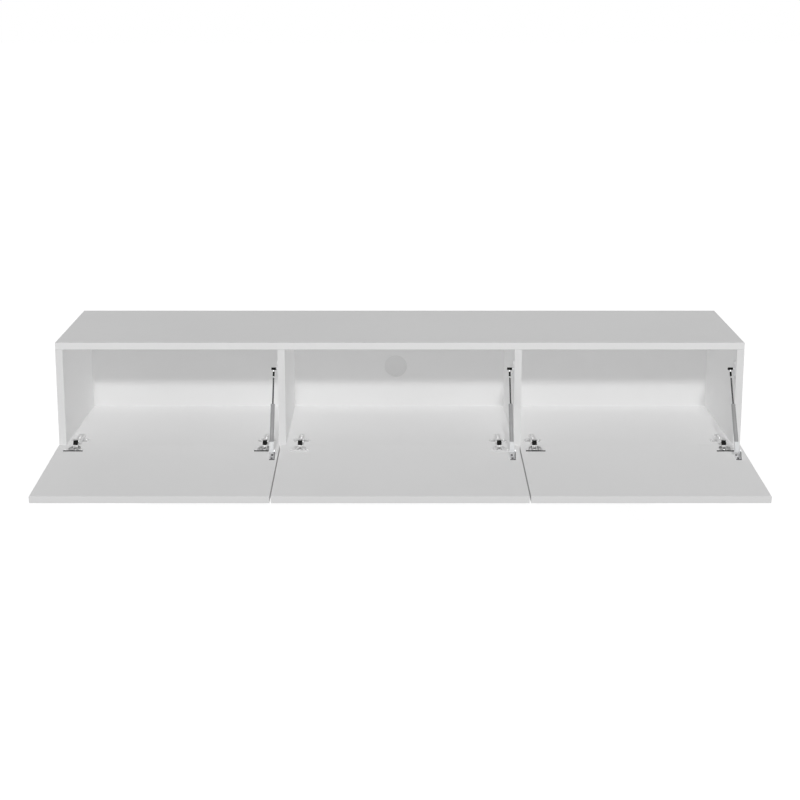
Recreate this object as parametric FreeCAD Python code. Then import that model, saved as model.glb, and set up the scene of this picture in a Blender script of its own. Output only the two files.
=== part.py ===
"""Wall-hung media console: a carcass with three bays, each closed by a drop-down door.

Every door hangs on two concealed cup hinges on the bottom board and is held open by one slim
strut on the wall at its right. The cabinet hooks onto a steel rail behind its back panel.

Millimetres. X runs to the right seen from the front, the front faces -Y and +Z is up. The model
is drawn with Y = 0 on the wall and Z = 0 under the bottom board, and is lowered at the end so
that the origin lies on the line of the rail's wall screws. All doors are drawn hanging open.
"""
import FreeCAD, Part
import math
import os

Vector = FreeCAD.Vector
ORIGIN = Vector(0, 0, 0)
RIGHT = Vector(1, 0, 0)
BACKWARD = Vector(0, 1, 0)
FORWARD = Vector(0, -1, 0)
UP = Vector(0, 0, 1)

# Carcass
WIDTH = 1800.0
HEIGHT = 300.0
CARCASS_DEPTH = 329.0
BOARD = 19.0                  # thickness of every carcass board
DIVIDER_CENTRE = 310.0        # from the middle of the cabinet to each divider's middle plane
EDGE_BREAK = 0.8              # chamfer on the edges that a hand meets
BACK_PANEL = 3.0
BACK_RECESS = 6.0             # room behind the back panel for the wall rail
GROOVE_DEPTH = 6.0
GROOVE_PLAY = 0.2
PANEL_EDGE_PLAY = 0.5

# Doors, with sizes as they stand when closed
DOOR = 18.0
DOOR_GAP = 3.0                # air between a closed door and the carcass
DOOR_RISE = 2.0               # bottom edge above the underside of the cabinet
DOOR_TOP_REVEAL = 2.0
DOOR_END_REVEAL = 1.0
SEAM_CENTRE = 315.0           # from the middle of the cabinet to each seam between doors
SEAM = 3.4
OPEN_ANGLE = 94.0

# Axis about which a door turns from shut to open, from the carcass front and underside
AXIS_OUT = 16.0
AXIS_RISE = 10.0

# Hinge places, from the wall of the bay to the hinge's middle
HINGE_FROM_SIDE = 28.5
HINGE_FROM_DIVIDER = 35.0
MIDDLE_HINGE_FROM_DIVIDER = 38.5

# Hinge cup, let into the door
CUP_RADIUS = 17.5
CUP_WALL = 1.0
CUP_DEPTH = 13.4
CUP_FLOOR = 0.7
CUP_FROM_EDGE = 4.0           # cup rim to the door's bottom edge
CUP_PLAY = 0.1
WING_SPAN = 51.0
WING_WIDTH = 16.4
WING_THICKNESS = 1.2
WING_CLIP = 6.0               # corners cut off the wings, towards the door's bottom edge
WING_OFFSET = 9.5             # middle of the wings from the middle of the cup, up the closed door

# Hinge links: pin height up the door, depth into it, reach of the fixed pin, bend of the bar
INNER_LINK_UP = 10.0
INNER_LINK_DEEP = 7.0
INNER_LINK_REACH = 23.0
INNER_LINK_BEND = 4.5
OUTER_LINK_UP = 12.0
OUTER_LINK_DEEP = 7.0
OUTER_LINK_REACH = 25.0
OUTER_LINK_BEND = 1.5
LINK_HALF_DEPTH = 1.4
LINK_EYE = 1.9
LINK_TIP_STUB = 1.2           # the outer link's short pins, which ride in the cup
INNER_LINK_WIDTH = 6.0
OUTER_LINK_SHEET = 2.4
LINK_LANE_GAP = 0.6
OUTER_LINK_WEB = 7.5          # how far the web reaches from the upper pin
OUTER_LINK_WEB_REAR = 0.3     # rear face of the web, in front of the bar's middle line
LINK_CAP_SHEET = 1.0          # moulded cap on the front of the outer link
LINK_CAP_REACH = 10.8         # how far down from the upper pin it reaches
LINK_CAP_GAP = 0.2            # beside the cheeks of the arm
PIN_RADIUS = 0.9
RUNNING_FIT = 0.05
FEW_SIDES = 10                # flat sides of a small round part that repeats

# Hinge arm and its plate on the bottom board
ARM_SHEET = 1.0
ARM_LINK_GAP = 0.4
ARM_NOSE = 2.9
ARM_MOUTH = 6.0               # how far the channel's open mouth is cut past the outer pin
ARM_TOP = 10.0                # above the bottom board
ARM_FOOT_GAP = 1.5
ARM_REAR = -58.0              # measured out from the carcass front, so behind it
ARM_BEND = -14.0
ARM_HEEL = -7.0
ARM_BROW = 2.0
ARM_WEB_END = 5.0
PLATE_LINE = -37.0            # middle line of the plate
PLATE_WING_WIDTH = 14.0
PLATE_SPAN = 48.0
PLATE_THICKNESS = 2.0
PLATE_CLIP = 4.5
PLATE_BLOCK_FRONT = -18.0
PLATE_BLOCK_REAR = -56.0
PLATE_BLOCK_GAP = 0.3
NOTCH_FLOOR = 0.75            # plate left under each cheek of the arm

# Strut: upper pivot on the bay's wall, lower pivot on the door
STRUT_FROM_WALL = 11.5
UPPER_PIVOT_OUT = -16.0
UPPER_PIVOT_RISE = 224.5
LOWER_PIVOT_UP = 76.0
LOWER_PIVOT_STAND = 17.0      # off the door's inner face
TUBE_RADIUS = 5.35
TUBE_FLOOR = 2.0
TUBE_START = 24.0             # along the strut from the lower pivot
TUBE_LENGTH = 98.0
ROD_RADIUS = 2.0
ROD_OVERLAP = 18.0            # rod left inside the tube with the door open
SOCKET_LENGTH = 21.0
SOCKET_RADIUS = 3.2
SOCKET_BORE_DEPTH = 8.0
SOCKET_BAR_WIDTH = 13.0
SOCKET_BAR = 6.0
FITTING_EYE = 5.5
FITTING_WIDTH = 11.0
FITTING_NECK = 4.2            # half the thickness of the tongue
STUD_RADIUS = 2.5
OPEN_PIVOT_GAP = 0.3
BRACKET_SHEET = 2.0
BRACKET_WALL_GAP = 2.5        # between the door's bracket and the bay's wall when shut
DOOR_BRACKET_LENGTH = 30.0
DOOR_BRACKET_FOOT = 14.0
DOOR_BRACKET_EAR = 6.5
WALL_BRACKET_WIDTH = 16.0
WALL_BRACKET_LENGTH = 44.0
WALL_BRACKET_CLIP = 5.0

# Cable port in the middle bay's back
PORT_X = -10.0
PORT_RISE = 137.5
PORT_FLANGE_RADIUS = 32.0
PORT_FLANGE = 1.5
PORT_SLEEVE_RADIUS = 28.8
PORT_SLEEVE_WALL = 1.8
PORT_SLEEVE_DEPTH = 6.0       # from the flange to the sleeve's rear end
PORT_LEDGE = 2.0
PORT_PLAY = 0.2
LID_THICKNESS = 2.0
LID_PLAY = 0.3

# Wall rail
RAIL_LENGTH = 1700.0
RAIL_SHEET = 1.5
RAIL_HEIGHT = 36.0
RAIL_FROM_TOP = 19.0          # its upper edge, below the underside of the top board
RAIL_SCREW_LINE = 12.0        # above the rail's lower edge
RAIL_FOLD = 24.0              # where it bends away from the wall, above its lower edge
RAIL_FOLD_HEIGHT = 3.0
RAIL_LIP_ROOM = 3.3
RAIL_SCREW_HOLE = 3.25
RAIL_END = 50.0               # from each end of the rail to its outer screw
RAIL_INNER_SPACING = 800.0

# Hangers: a housing in each upper rear corner, with a hook over the rail's upper edge
HOOK_SHEET = 3.0
HOOK_BLADE = 2.0
HOOK_WALL_GAP = 0.9
HOOK_DROP = 7.0
HOOK_CROWN = 6.0              # above the rail's upper edge
HOOK_SHANK = 18.0             # height of the shank
HOOK_REACH = 40.0
HOOK_RAIL_PLAY = 0.2
HOUSING_FROM_TOP = 7.0
HOUSING_WIDTH = 18.0
HOUSING_DEPTH = 46.0
HOUSING_HEIGHT = 62.0
HOUSING_CHAMFER = 2.0
HOUSING_SLOT_PLAY = 0.3

# Places that follow from the sizes above
SIDE_FACE = WIDTH / 2 - BOARD                       # inner face of each side
DIVIDER_OUTER = DIVIDER_CENTRE + BOARD / 2          # divider face towards the outer bay
DIVIDER_INNER = DIVIDER_CENTRE - BOARD / 2
TOP_UNDERSIDE = HEIGHT - BOARD
BACK_FACE = -BACK_RECESS - BACK_PANEL               # front of the back panel
CARCASS_FRONT = -CARCASS_DEPTH
DOOR_FACE = CARCASS_FRONT - DOOR_GAP                # inner face of a closed door
CUP_UP = CUP_FROM_EDGE + CUP_RADIUS
OUTER_LINK_INSIDE = INNER_LINK_WIDTH / 2 + LINK_LANE_GAP
OUTER_LINK_OUTSIDE = OUTER_LINK_INSIDE + OUTER_LINK_SHEET
ARM_INSIDE = OUTER_LINK_OUTSIDE + ARM_LINK_GAP
ARM_OUTSIDE = ARM_INSIDE + ARM_SHEET
RAIL_TOP = TOP_UNDERSIDE - RAIL_FROM_TOP
RAIL_BOTTOM = RAIL_TOP - RAIL_HEIGHT
RAIL_SCREW_RISE = RAIL_BOTTOM + RAIL_SCREW_LINE
RAIL_OUTER_SPACING = RAIL_LENGTH - 2 * RAIL_END
HOOK_TOP = RAIL_TOP + HOOK_CROWN
HOUSING_TOP = TOP_UNDERSIDE - HOUSING_FROM_TOP
# Each bay: its name, its left and right walls, its door's ends and its hinges' middles
BAYS = (
    ("left", -SIDE_FACE, -DIVIDER_OUTER,
     -WIDTH / 2 + DOOR_END_REVEAL, -SEAM_CENTRE - SEAM / 2,
     (-SIDE_FACE + HINGE_FROM_SIDE, -DIVIDER_OUTER - HINGE_FROM_DIVIDER)),
    ("middle", -DIVIDER_INNER, DIVIDER_INNER,
     -SEAM_CENTRE + SEAM / 2, SEAM_CENTRE - SEAM / 2,
     (-DIVIDER_INNER + MIDDLE_HINGE_FROM_DIVIDER, DIVIDER_INNER - MIDDLE_HINGE_FROM_DIVIDER)),
    ("right", DIVIDER_OUTER, SIDE_FACE,
     SEAM_CENTRE + SEAM / 2, WIDTH / 2 - DOOR_END_REVEAL,
     (DIVIDER_OUTER + HINGE_FROM_DIVIDER, SIDE_FACE - HINGE_FROM_SIDE)),
)
# Middles of the hangers, beside the walls that carry them
HANGERS = (-SIDE_FACE + HOUSING_WIDTH / 2, -DIVIDER_OUTER - HOUSING_WIDTH / 2,
           DIVIDER_OUTER + HOUSING_WIDTH / 2, SIDE_FACE - HOUSING_WIDTH / 2)


# Shapes

def block(x0, x1, y0, y1, z0, z1):
    return Part.makeBox(x1 - x0, y1 - y0, z1 - z0, Vector(x0, y0, z0))


def extruded(corners, vector):
    return Part.Face(Part.makePolygon(corners + corners[:1])).extrude(vector)


def clipped(shape, direction, clip):
    """Chamfer the edges of a block that run along a direction."""
    edges = [edge for edge in shape.Edges
             if edge.tangentAt(edge.FirstParameter).cross(direction).Length < EDGE_BREAK]
    return shape.makeChamfer(clip, edges)


def side_vector(x, point):
    """A point of the side view, given as distance out from the carcass front and height."""
    return Vector(x, CARCASS_FRONT - point[0], point[1])


def side_plate(outline, x0, x1):
    return extruded([side_vector(x0, point) for point in outline], RIGHT * (x1 - x0))


def side_bar(point, radius, x0, x1, half_step=0):
    """Small round bar along X, drawn with few flat sides."""
    step = 2 * math.pi / FEW_SIDES
    turns = [step * (side + half_step / 2) for side in range(FEW_SIDES)]
    return side_plate([(point[0] + radius * math.cos(turn), point[1] + radius * math.sin(turn))
                       for turn in turns], x0, x1)


def side_hole(point, radius, x0, x1):
    """Cutter for a small hole along X whose flat sides clear the edges of a bar."""
    return side_bar(point, radius / math.cos(math.pi / FEW_SIDES), x0, x1, 1)


def turned(outline):
    """Solid of revolution about the vertical axis, from (radius, height) points."""
    corners = [Vector(radius, 0, height) for radius, height in outline]
    return Part.Face(Part.makePolygon(corners + corners[:1])).revolve(ORIGIN, UP, 360)


def joined(shapes):
    return shapes[0].multiFuse(shapes[1:]).removeSplitter()


# The doors' motion, in the side view

def opened_point(point):
    """Where a point of the closed door lies once the door is open."""
    angle = math.radians(OPEN_ANGLE)
    out = point[0] - AXIS_OUT
    rise = point[1] - AXIS_RISE
    return (AXIS_OUT + out * math.cos(angle) + rise * math.sin(angle),
            AXIS_RISE - out * math.sin(angle) + rise * math.cos(angle))


def opened(shape):
    """A piece of the door, drawn closed and turned open."""
    return shape.rotated(side_vector(0, (AXIS_OUT, AXIS_RISE)), RIGHT, OPEN_ANGLE)


def door_point(up, deep):
    """A point of the closed door, by height up the door and depth in from its inner face."""
    return (DOOR_GAP + deep, DOOR_RISE + up)


def fixed_pin(up, deep, reach):
    """Pin on the arm, equally far from the link's end at both ends of the door's swing."""
    out, rise = door_point(up, deep)
    middle = math.atan2(rise - AXIS_RISE, out - AXIS_OUT) - math.radians(OPEN_ANGLE / 2)
    return (AXIS_OUT + reach * math.cos(middle), AXIS_RISE + reach * math.sin(middle))


INNER_PIN = fixed_pin(INNER_LINK_UP, INNER_LINK_DEEP, INNER_LINK_REACH)
OUTER_PIN = fixed_pin(OUTER_LINK_UP, OUTER_LINK_DEEP, OUTER_LINK_REACH)
INNER_TIP = opened_point(door_point(INNER_LINK_UP, INNER_LINK_DEEP))
OUTER_TIP = opened_point(door_point(OUTER_LINK_UP, OUTER_LINK_DEEP))
UPPER_PIVOT = (UPPER_PIVOT_OUT, UPPER_PIVOT_RISE)
LOWER_PIVOT = opened_point(door_point(LOWER_PIVOT_UP, -LOWER_PIVOT_STAND))
STRUT_LENGTH = math.hypot(UPPER_PIVOT[0] - LOWER_PIVOT[0], UPPER_PIVOT[1] - LOWER_PIVOT[1])


# Carcass boards

def back_groove(x0, x1, z0, z1):
    return block(x0, x1, BACK_FACE, -BACK_RECESS + GROOVE_PLAY, z0, z1)


def top_board():
    board = block(-WIDTH / 2, WIDTH / 2, CARCASS_FRONT, 0, TOP_UNDERSIDE, HEIGHT)
    board = board.makeChamfer(EDGE_BREAK, board.Edges)
    return board.cut(back_groove(-SIDE_FACE - GROOVE_DEPTH, SIDE_FACE + GROOVE_DEPTH,
                                 TOP_UNDERSIDE, TOP_UNDERSIDE + GROOVE_DEPTH))


def bottom_board():
    board = block(-WIDTH / 2, WIDTH / 2, CARCASS_FRONT, 0, 0, BOARD)
    return board.cut(back_groove(-SIDE_FACE - GROOVE_DEPTH, SIDE_FACE + GROOVE_DEPTH,
                                 BOARD - GROOVE_DEPTH, BOARD))


def side_board(hand):
    """Side of the cabinet, with hand -1 for the left and 1 for the right."""
    inside, outside = sorted((hand * SIDE_FACE, hand * WIDTH / 2))
    groove_start, groove_end = sorted((hand * SIDE_FACE, hand * (SIDE_FACE + GROOVE_DEPTH)))
    board = block(inside, outside, CARCASS_FRONT, 0, BOARD, TOP_UNDERSIDE)
    return board.cut(back_groove(groove_start, groove_end, BOARD, TOP_UNDERSIDE))


def divider_board(hand):
    return block(hand * DIVIDER_CENTRE - BOARD / 2, hand * DIVIDER_CENTRE + BOARD / 2,
                 CARCASS_FRONT, BACK_FACE, BOARD, TOP_UNDERSIDE)


def back_board():
    """Thin panel held in the boards' grooves, cut out for the cable port and the hooks."""
    reach = GROOVE_DEPTH - PANEL_EDGE_PLAY
    panel = block(-SIDE_FACE - reach, SIDE_FACE + reach, BACK_FACE, -BACK_RECESS,
                  BOARD - reach, TOP_UNDERSIDE + reach)
    port = Part.makeCylinder(PORT_SLEEVE_RADIUS + PORT_PLAY, BACK_PANEL,
                             Vector(PORT_X, BACK_FACE, PORT_RISE), BACKWARD)
    half = HOOK_SHEET / 2 + HOOK_BLADE
    slots = [block(x - half, x + half, BACK_FACE, -BACK_RECESS,
                   HOOK_TOP - HOOK_SHANK - HOOK_BLADE, HOOK_TOP + HOOK_BLADE) for x in HANGERS]
    return panel.cut([port] + slots)


# Cable port

def port_ring():
    """Flanged sleeve in the back panel, stepped inside so that the lid has a ledge to rest on."""
    bore = PORT_SLEEVE_RADIUS - PORT_SLEEVE_WALL
    rear = -PORT_FLANGE - PORT_SLEEVE_DEPTH
    ring = turned([(bore, 0), (PORT_FLANGE_RADIUS, 0), (PORT_FLANGE_RADIUS, -PORT_FLANGE),
                   (PORT_SLEEVE_RADIUS, -PORT_FLANGE), (PORT_SLEEVE_RADIUS, rear),
                   (bore - PORT_LEDGE, rear), (bore - PORT_LEDGE, -LID_THICKNESS),
                   (bore, -LID_THICKNESS)])
    ring.Placement = FreeCAD.Placement(Vector(PORT_X, BACK_FACE - PORT_FLANGE, PORT_RISE),
                                       FreeCAD.Rotation(UP, FORWARD))
    return ring


def port_lid():
    radius = PORT_SLEEVE_RADIUS - PORT_SLEEVE_WALL - LID_PLAY
    front = Vector(PORT_X, BACK_FACE - PORT_FLANGE, PORT_RISE)
    return Part.makeCylinder(radius, LID_THICKNESS, front, BACKWARD)


# Doors

def door_panel(x0, x1, hinges):
    panel = block(x0, x1, DOOR_FACE - DOOR, DOOR_FACE, DOOR_RISE, HEIGHT - DOOR_TOP_REVEAL)
    panel = panel.makeChamfer(EDGE_BREAK, panel.Edges)
    holes = [Part.makeCylinder(CUP_RADIUS + CUP_PLAY, CUP_DEPTH + CUP_PLAY,
                               side_vector(x, door_point(CUP_UP, 0)), FORWARD) for x in hinges]
    return opened(panel.cut(holes))


def hinge_cup(x):
    """Deep-drawn cup with a flange on the door that is straight beyond the rim."""
    mouth = side_vector(x, door_point(CUP_UP, 0))
    shell = Part.makeCylinder(CUP_RADIUS, CUP_DEPTH, mouth, FORWARD)
    half = WING_SPAN / 2
    low = mouth.z + WING_OFFSET - WING_WIDTH / 2
    outline = [(half, low + WING_WIDTH), (half, low + WING_CLIP), (half - WING_CLIP, low),
               (WING_CLIP - half, low), (-half, low + WING_CLIP), (-half, low + WING_WIDTH)]
    wings = extruded([Vector(x + across, DOOR_FACE, z) for across, z in outline],
                     BACKWARD * WING_THICKNESS)
    hollow = Part.makeCylinder(CUP_RADIUS - CUP_WALL, CUP_DEPTH - CUP_FLOOR + WING_THICKNESS,
                               mouth + BACKWARD * WING_THICKNESS, FORWARD)
    return opened(joined([shell, wings]).cut(hollow))


# Hinges on the bottom board

def bent_bar(start, end, bend, near, far, x0, x1):
    """Bar bent to an arc in the side view, between two offsets from its middle line."""
    length = math.hypot(end[0] - start[0], end[1] - start[1])
    along = ((end[0] - start[0]) / length, (end[1] - start[1]) / length)
    across = (-along[1], along[0])

    def place(share, offset):
        return side_vector(x0, (start[0] + along[0] * length * share + across[0] * offset,
                                start[1] + along[1] * length * share + across[1] * offset))

    edges = [Part.Arc(place(0, far), place(0.5, far + bend), place(1, far)).toShape(),
             Part.LineSegment(place(1, far), place(1, near)).toShape(),
             Part.Arc(place(1, near), place(0.5, near + bend), place(0, near)).toShape(),
             Part.LineSegment(place(0, near), place(0, far)).toShape()]
    return Part.Face(Part.Wire(edges)).extrude(RIGHT * (x1 - x0))


def link_bar(pin, tip, bend, x0, x1):
    return [bent_bar(pin, tip, bend, -LINK_HALF_DEPTH, LINK_HALF_DEPTH, x0, x1),
            side_bar(pin, LINK_EYE, x0, x1)]


def inner_link(x):
    half = INNER_LINK_WIDTH / 2
    bar = joined(link_bar(INNER_PIN, INNER_TIP, INNER_LINK_BEND, x - half, x + half))
    return bar.cut(side_hole(INNER_PIN, PIN_RADIUS + RUNNING_FIT, x - half, x + half))


def outer_link(x):
    """Two cheeks joined by a web below the upper pin, with stub pins at their tips."""
    pieces = []
    for side in (-1, 1):
        inside = x + side * OUTER_LINK_INSIDE
        cheek = sorted((inside, x + side * OUTER_LINK_OUTSIDE))
        stub = sorted((inside, x + side * (OUTER_LINK_OUTSIDE + LINK_TIP_STUB)))
        pieces += link_bar(OUTER_PIN, OUTER_TIP, OUTER_LINK_BEND, cheek[0], cheek[1])
        pieces.append(side_bar(OUTER_TIP, PIN_RADIUS, stub[0], stub[1]))
    web = bent_bar(OUTER_PIN, OUTER_TIP, OUTER_LINK_BEND, OUTER_LINK_WEB_REAR, LINK_HALF_DEPTH,
                   x - OUTER_LINK_INSIDE, x + OUTER_LINK_INSIDE)
    reach = side_bar(OUTER_PIN, OUTER_LINK_WEB, x - OUTER_LINK_INSIDE, x + OUTER_LINK_INSIDE)
    hole = side_hole(OUTER_PIN, PIN_RADIUS + RUNNING_FIT, x - ARM_OUTSIDE, x + ARM_OUTSIDE)
    return joined(pieces + [web.common(reach)]).cut(hole)


def link_cap(x):
    """Cap that covers the front of an outer link, from its upper eye to below its web."""
    half = ARM_INSIDE - LINK_CAP_GAP
    front = LINK_HALF_DEPTH + LINK_CAP_SHEET
    strip = bent_bar(OUTER_PIN, OUTER_TIP, OUTER_LINK_BEND, LINK_HALF_DEPTH, front,
                     x - half, x + half)
    reach = side_bar(OUTER_PIN, LINK_CAP_REACH, x - half, x + half)
    length = math.hypot(OUTER_TIP[0] - OUTER_PIN[0], OUTER_TIP[1] - OUTER_PIN[1])
    up = ((OUTER_PIN[0] - OUTER_TIP[0]) / length, (OUTER_PIN[1] - OUTER_TIP[1]) / length)
    tab = side_plate([(OUTER_PIN[0] + up[1] * off + up[0] * rise,
                       OUTER_PIN[1] - up[0] * off + up[1] * rise)
                      for off, rise in ((LINK_HALF_DEPTH, 0), (front, 0), (front, LINK_EYE),
                                        (LINK_HALF_DEPTH, LINK_EYE))], x - half, x + half)
    return joined([strip.common(reach), tab]).cut(side_bar(OUTER_PIN, LINK_EYE, x - half, x + half))


def hinge_arm(x):
    """Channel of folded sheet that rises over the cabinet's front edge, with its two pins."""
    top = BOARD + ARM_TOP
    foot = BOARD + ARM_FOOT_GAP
    crown = OUTER_PIN[1] + ARM_NOSE
    brow = crown - ARM_SHEET
    outline = [(ARM_REAR, foot), (ARM_REAR, top), (ARM_BEND, top), (ARM_BROW, brow),
               (OUTER_PIN[0], crown), (OUTER_PIN[0], OUTER_PIN[1] - ARM_NOSE),
               (INNER_PIN[0], INNER_PIN[1] - ARM_NOSE), (ARM_HEEL, foot + ARM_NOSE),
               (ARM_BEND, foot)]
    channel = joined([side_plate(outline, x - ARM_OUTSIDE, x + ARM_OUTSIDE)]
                     + [side_bar(pin, ARM_NOSE, x - ARM_OUTSIDE, x + ARM_OUTSIDE)
                        for pin in (INNER_PIN, OUTER_PIN)])
    past = OUTER_PIN[0] + ARM_MOUTH
    hollow = [(ARM_REAR, 0), (ARM_REAR, top - ARM_SHEET), (ARM_BEND, top - ARM_SHEET),
              (ARM_BROW, brow - ARM_SHEET), (ARM_WEB_END, brow - ARM_SHEET),
              (ARM_WEB_END, crown + ARM_SHEET), (past, crown + ARM_SHEET), (past, 0)]
    channel = channel.cut(side_plate(hollow, x - ARM_INSIDE, x + ARM_INSIDE))
    return joined([channel] + [side_bar(pin, PIN_RADIUS, x - ARM_OUTSIDE, x + ARM_OUTSIDE)
                               for pin in (INNER_PIN, OUTER_PIN)])


def hinge_plate(x):
    """Plate on the bottom board, with a block that the arm clips over."""
    line = CARCASS_FRONT - PLATE_LINE
    wings = block(x - PLATE_SPAN / 2, x + PLATE_SPAN / 2, line - PLATE_WING_WIDTH / 2,
                  line + PLATE_WING_WIDTH / 2, BOARD, BOARD + PLATE_THICKNESS)
    inside = ARM_INSIDE - PLATE_BLOCK_GAP
    outside = ARM_OUTSIDE + PLATE_BLOCK_GAP
    notches = []
    for side in (-1, 1):
        start, end = sorted((x + side * inside, x + side * outside))
        notches.append(block(start, end, line - PLATE_WING_WIDTH, line + PLATE_WING_WIDTH,
                             BOARD + NOTCH_FLOOR, BOARD + PLATE_THICKNESS))
    raised = block(x - inside, x + inside, CARCASS_FRONT - PLATE_BLOCK_FRONT,
                   CARCASS_FRONT - PLATE_BLOCK_REAR, BOARD, BOARD + ARM_TOP - ARM_SHEET)
    return joined([clipped(wings, UP, PLATE_CLIP).cut(notches), raised])


# Struts

def on_strut(shape, x):
    """Turn a piece drawn upright from the lower pivot onto the line of a strut."""
    start = side_vector(x, LOWER_PIVOT)
    direction = (side_vector(x, UPPER_PIVOT) - start).normalize()
    rotation = FreeCAD.Rotation(RIGHT, direction.cross(RIGHT), direction)
    return shape.transformed(FreeCAD.Placement(start, rotation).toMatrix())


def strut_tube(x):
    """Closed tube of the strut, with a bore from its upper end that the rod slides in."""
    end = TUBE_START + TUBE_LENGTH
    floor = TUBE_START + TUBE_FLOOR
    bore = ROD_RADIUS + RUNNING_FIT
    return on_strut(turned([(0, TUBE_START), (TUBE_RADIUS, TUBE_START), (TUBE_RADIUS, end),
                            (bore, end), (bore, floor), (0, floor)]), x)


def strut_rod(x):
    start = TUBE_START + TUBE_LENGTH - ROD_OVERLAP
    length = STRUT_LENGTH - SOCKET_LENGTH + SOCKET_BORE_DEPTH - start
    return on_strut(Part.makeCylinder(ROD_RADIUS, length, UP * start), x)


def strut_socket(x):
    """Moulded end of the rod, with a cross bar that takes the stud on the bay's wall."""
    start = STRUT_LENGTH - SOCKET_LENGTH
    bore = ROD_RADIUS + RUNNING_FIT
    bore_end = start + SOCKET_BORE_DEPTH
    neck = turned([(bore, start), (SOCKET_RADIUS, start), (SOCKET_RADIUS, STRUT_LENGTH),
                   (0, STRUT_LENGTH), (0, bore_end), (bore, bore_end)])
    bar = block(-SOCKET_BAR_WIDTH / 2, SOCKET_BAR_WIDTH / 2, -SOCKET_BAR / 2, SOCKET_BAR / 2,
                STRUT_LENGTH - SOCKET_BAR / 2, STRUT_LENGTH + SOCKET_BAR / 2)
    return on_strut(joined([neck, clipped(bar, RIGHT, EDGE_BREAK)]), x)


def strut_fitting(x):
    """Moulded end of the tube: a tongue with an eye on the stud of the door's bracket."""
    eye = Part.makeCylinder(FITTING_EYE, FITTING_WIDTH, Vector(-FITTING_WIDTH / 2, 0, 0), RIGHT)
    tongue = block(-FITTING_WIDTH / 2, FITTING_WIDTH / 2, -FITTING_NECK, FITTING_NECK, 0, TUBE_START)
    body = on_strut(joined([eye, tongue]), x)
    return body.cut(side_hole(LOWER_PIVOT, STUD_RADIUS + RUNNING_FIT, x - FITTING_WIDTH,
                              x + FITTING_WIDTH))


def strut_door_bracket(wall):
    """Angle bracket on the door with the stud of the lower pivot, drawn with the door closed."""
    x = wall - STRUT_FROM_WALL
    ear_outside = wall - BRACKET_WALL_GAP
    ear_inside = ear_outside - BRACKET_SHEET
    pivot = door_point(LOWER_PIVOT_UP, -LOWER_PIVOT_STAND)
    low, high = (door_point(LOWER_PIVOT_UP + side * DOOR_BRACKET_LENGTH / 2, 0) for side in (-1, 1))
    ear = side_plate([low, (pivot[0], pivot[1] - DOOR_BRACKET_EAR),
                      (pivot[0], pivot[1] + DOOR_BRACKET_EAR), high], ear_inside, ear_outside)
    tip = side_bar(pivot, DOOR_BRACKET_EAR, ear_inside, ear_outside)
    foot = block(ear_outside - DOOR_BRACKET_FOOT, ear_outside, DOOR_FACE, DOOR_FACE + BRACKET_SHEET,
                 low[1], high[1])
    stud = side_bar(pivot, STUD_RADIUS, x - FITTING_WIDTH / 2, ear_outside)
    return opened(joined([ear, tip, foot, stud]))


def strut_wall_bracket(wall):
    """Plate on the bay's wall whose stud stops just short of the rod's cross bar."""
    middle = side_vector(wall, UPPER_PIVOT)
    plate = block(wall - BRACKET_SHEET, wall, middle.y - WALL_BRACKET_WIDTH / 2,
                  middle.y + WALL_BRACKET_WIDTH / 2, middle.z - WALL_BRACKET_LENGTH / 2,
                  middle.z + WALL_BRACKET_LENGTH / 2)
    stud_end = wall - STRUT_FROM_WALL + SOCKET_BAR_WIDTH / 2 + OPEN_PIVOT_GAP
    return joined([clipped(plate, RIGHT, WALL_BRACKET_CLIP),
                   side_bar(UPPER_PIVOT, STUD_RADIUS, stud_end, wall)])


# Wall rail and hangers

def wall_rail():
    """Steel strip on the wall whose upper edge stands off it to take the hooks."""
    lip = -RAIL_LIP_ROOM - RAIL_SHEET
    fold = RAIL_BOTTOM + RAIL_FOLD
    fold_top = fold + RAIL_FOLD_HEIGHT
    section = [(0, RAIL_BOTTOM), (-RAIL_SHEET, RAIL_BOTTOM), (-RAIL_SHEET, fold), (lip, fold_top),
               (lip, RAIL_TOP), (-RAIL_LIP_ROOM, RAIL_TOP), (-RAIL_LIP_ROOM, fold_top), (0, fold)]
    strip = extruded([Vector(-RAIL_LENGTH / 2, y, z) for y, z in section], RIGHT * RAIL_LENGTH)
    holes = [Part.makeCylinder(RAIL_SCREW_HOLE, RAIL_SHEET,
                               Vector(side * spacing / 2, -RAIL_SHEET, RAIL_SCREW_RISE), BACKWARD)
             for spacing in (RAIL_OUTER_SPACING, RAIL_INNER_SPACING) for side in (-1, 1)]
    return strip.cut(holes)


def hook(x):
    """Flat steel hook that hangs over the rail's upper edge."""
    tip_back = -HOOK_WALL_GAP
    tip_front = tip_back - HOOK_BLADE
    throat_front = -RAIL_LIP_ROOM - RAIL_SHEET - HOOK_RAIL_PLAY
    shank = HOOK_TOP - HOOK_SHANK
    outline = [(tip_back, HOOK_TOP), (tip_back, RAIL_TOP - HOOK_DROP),
               (tip_front, RAIL_TOP - HOOK_DROP), (tip_front, RAIL_TOP), (throat_front, RAIL_TOP),
               (throat_front, shank), (-HOOK_REACH, shank), (-HOOK_REACH, HOOK_TOP)]
    return extruded([Vector(x - HOOK_SHEET / 2, y, z) for y, z in outline], RIGHT * HOOK_SHEET)


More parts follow.
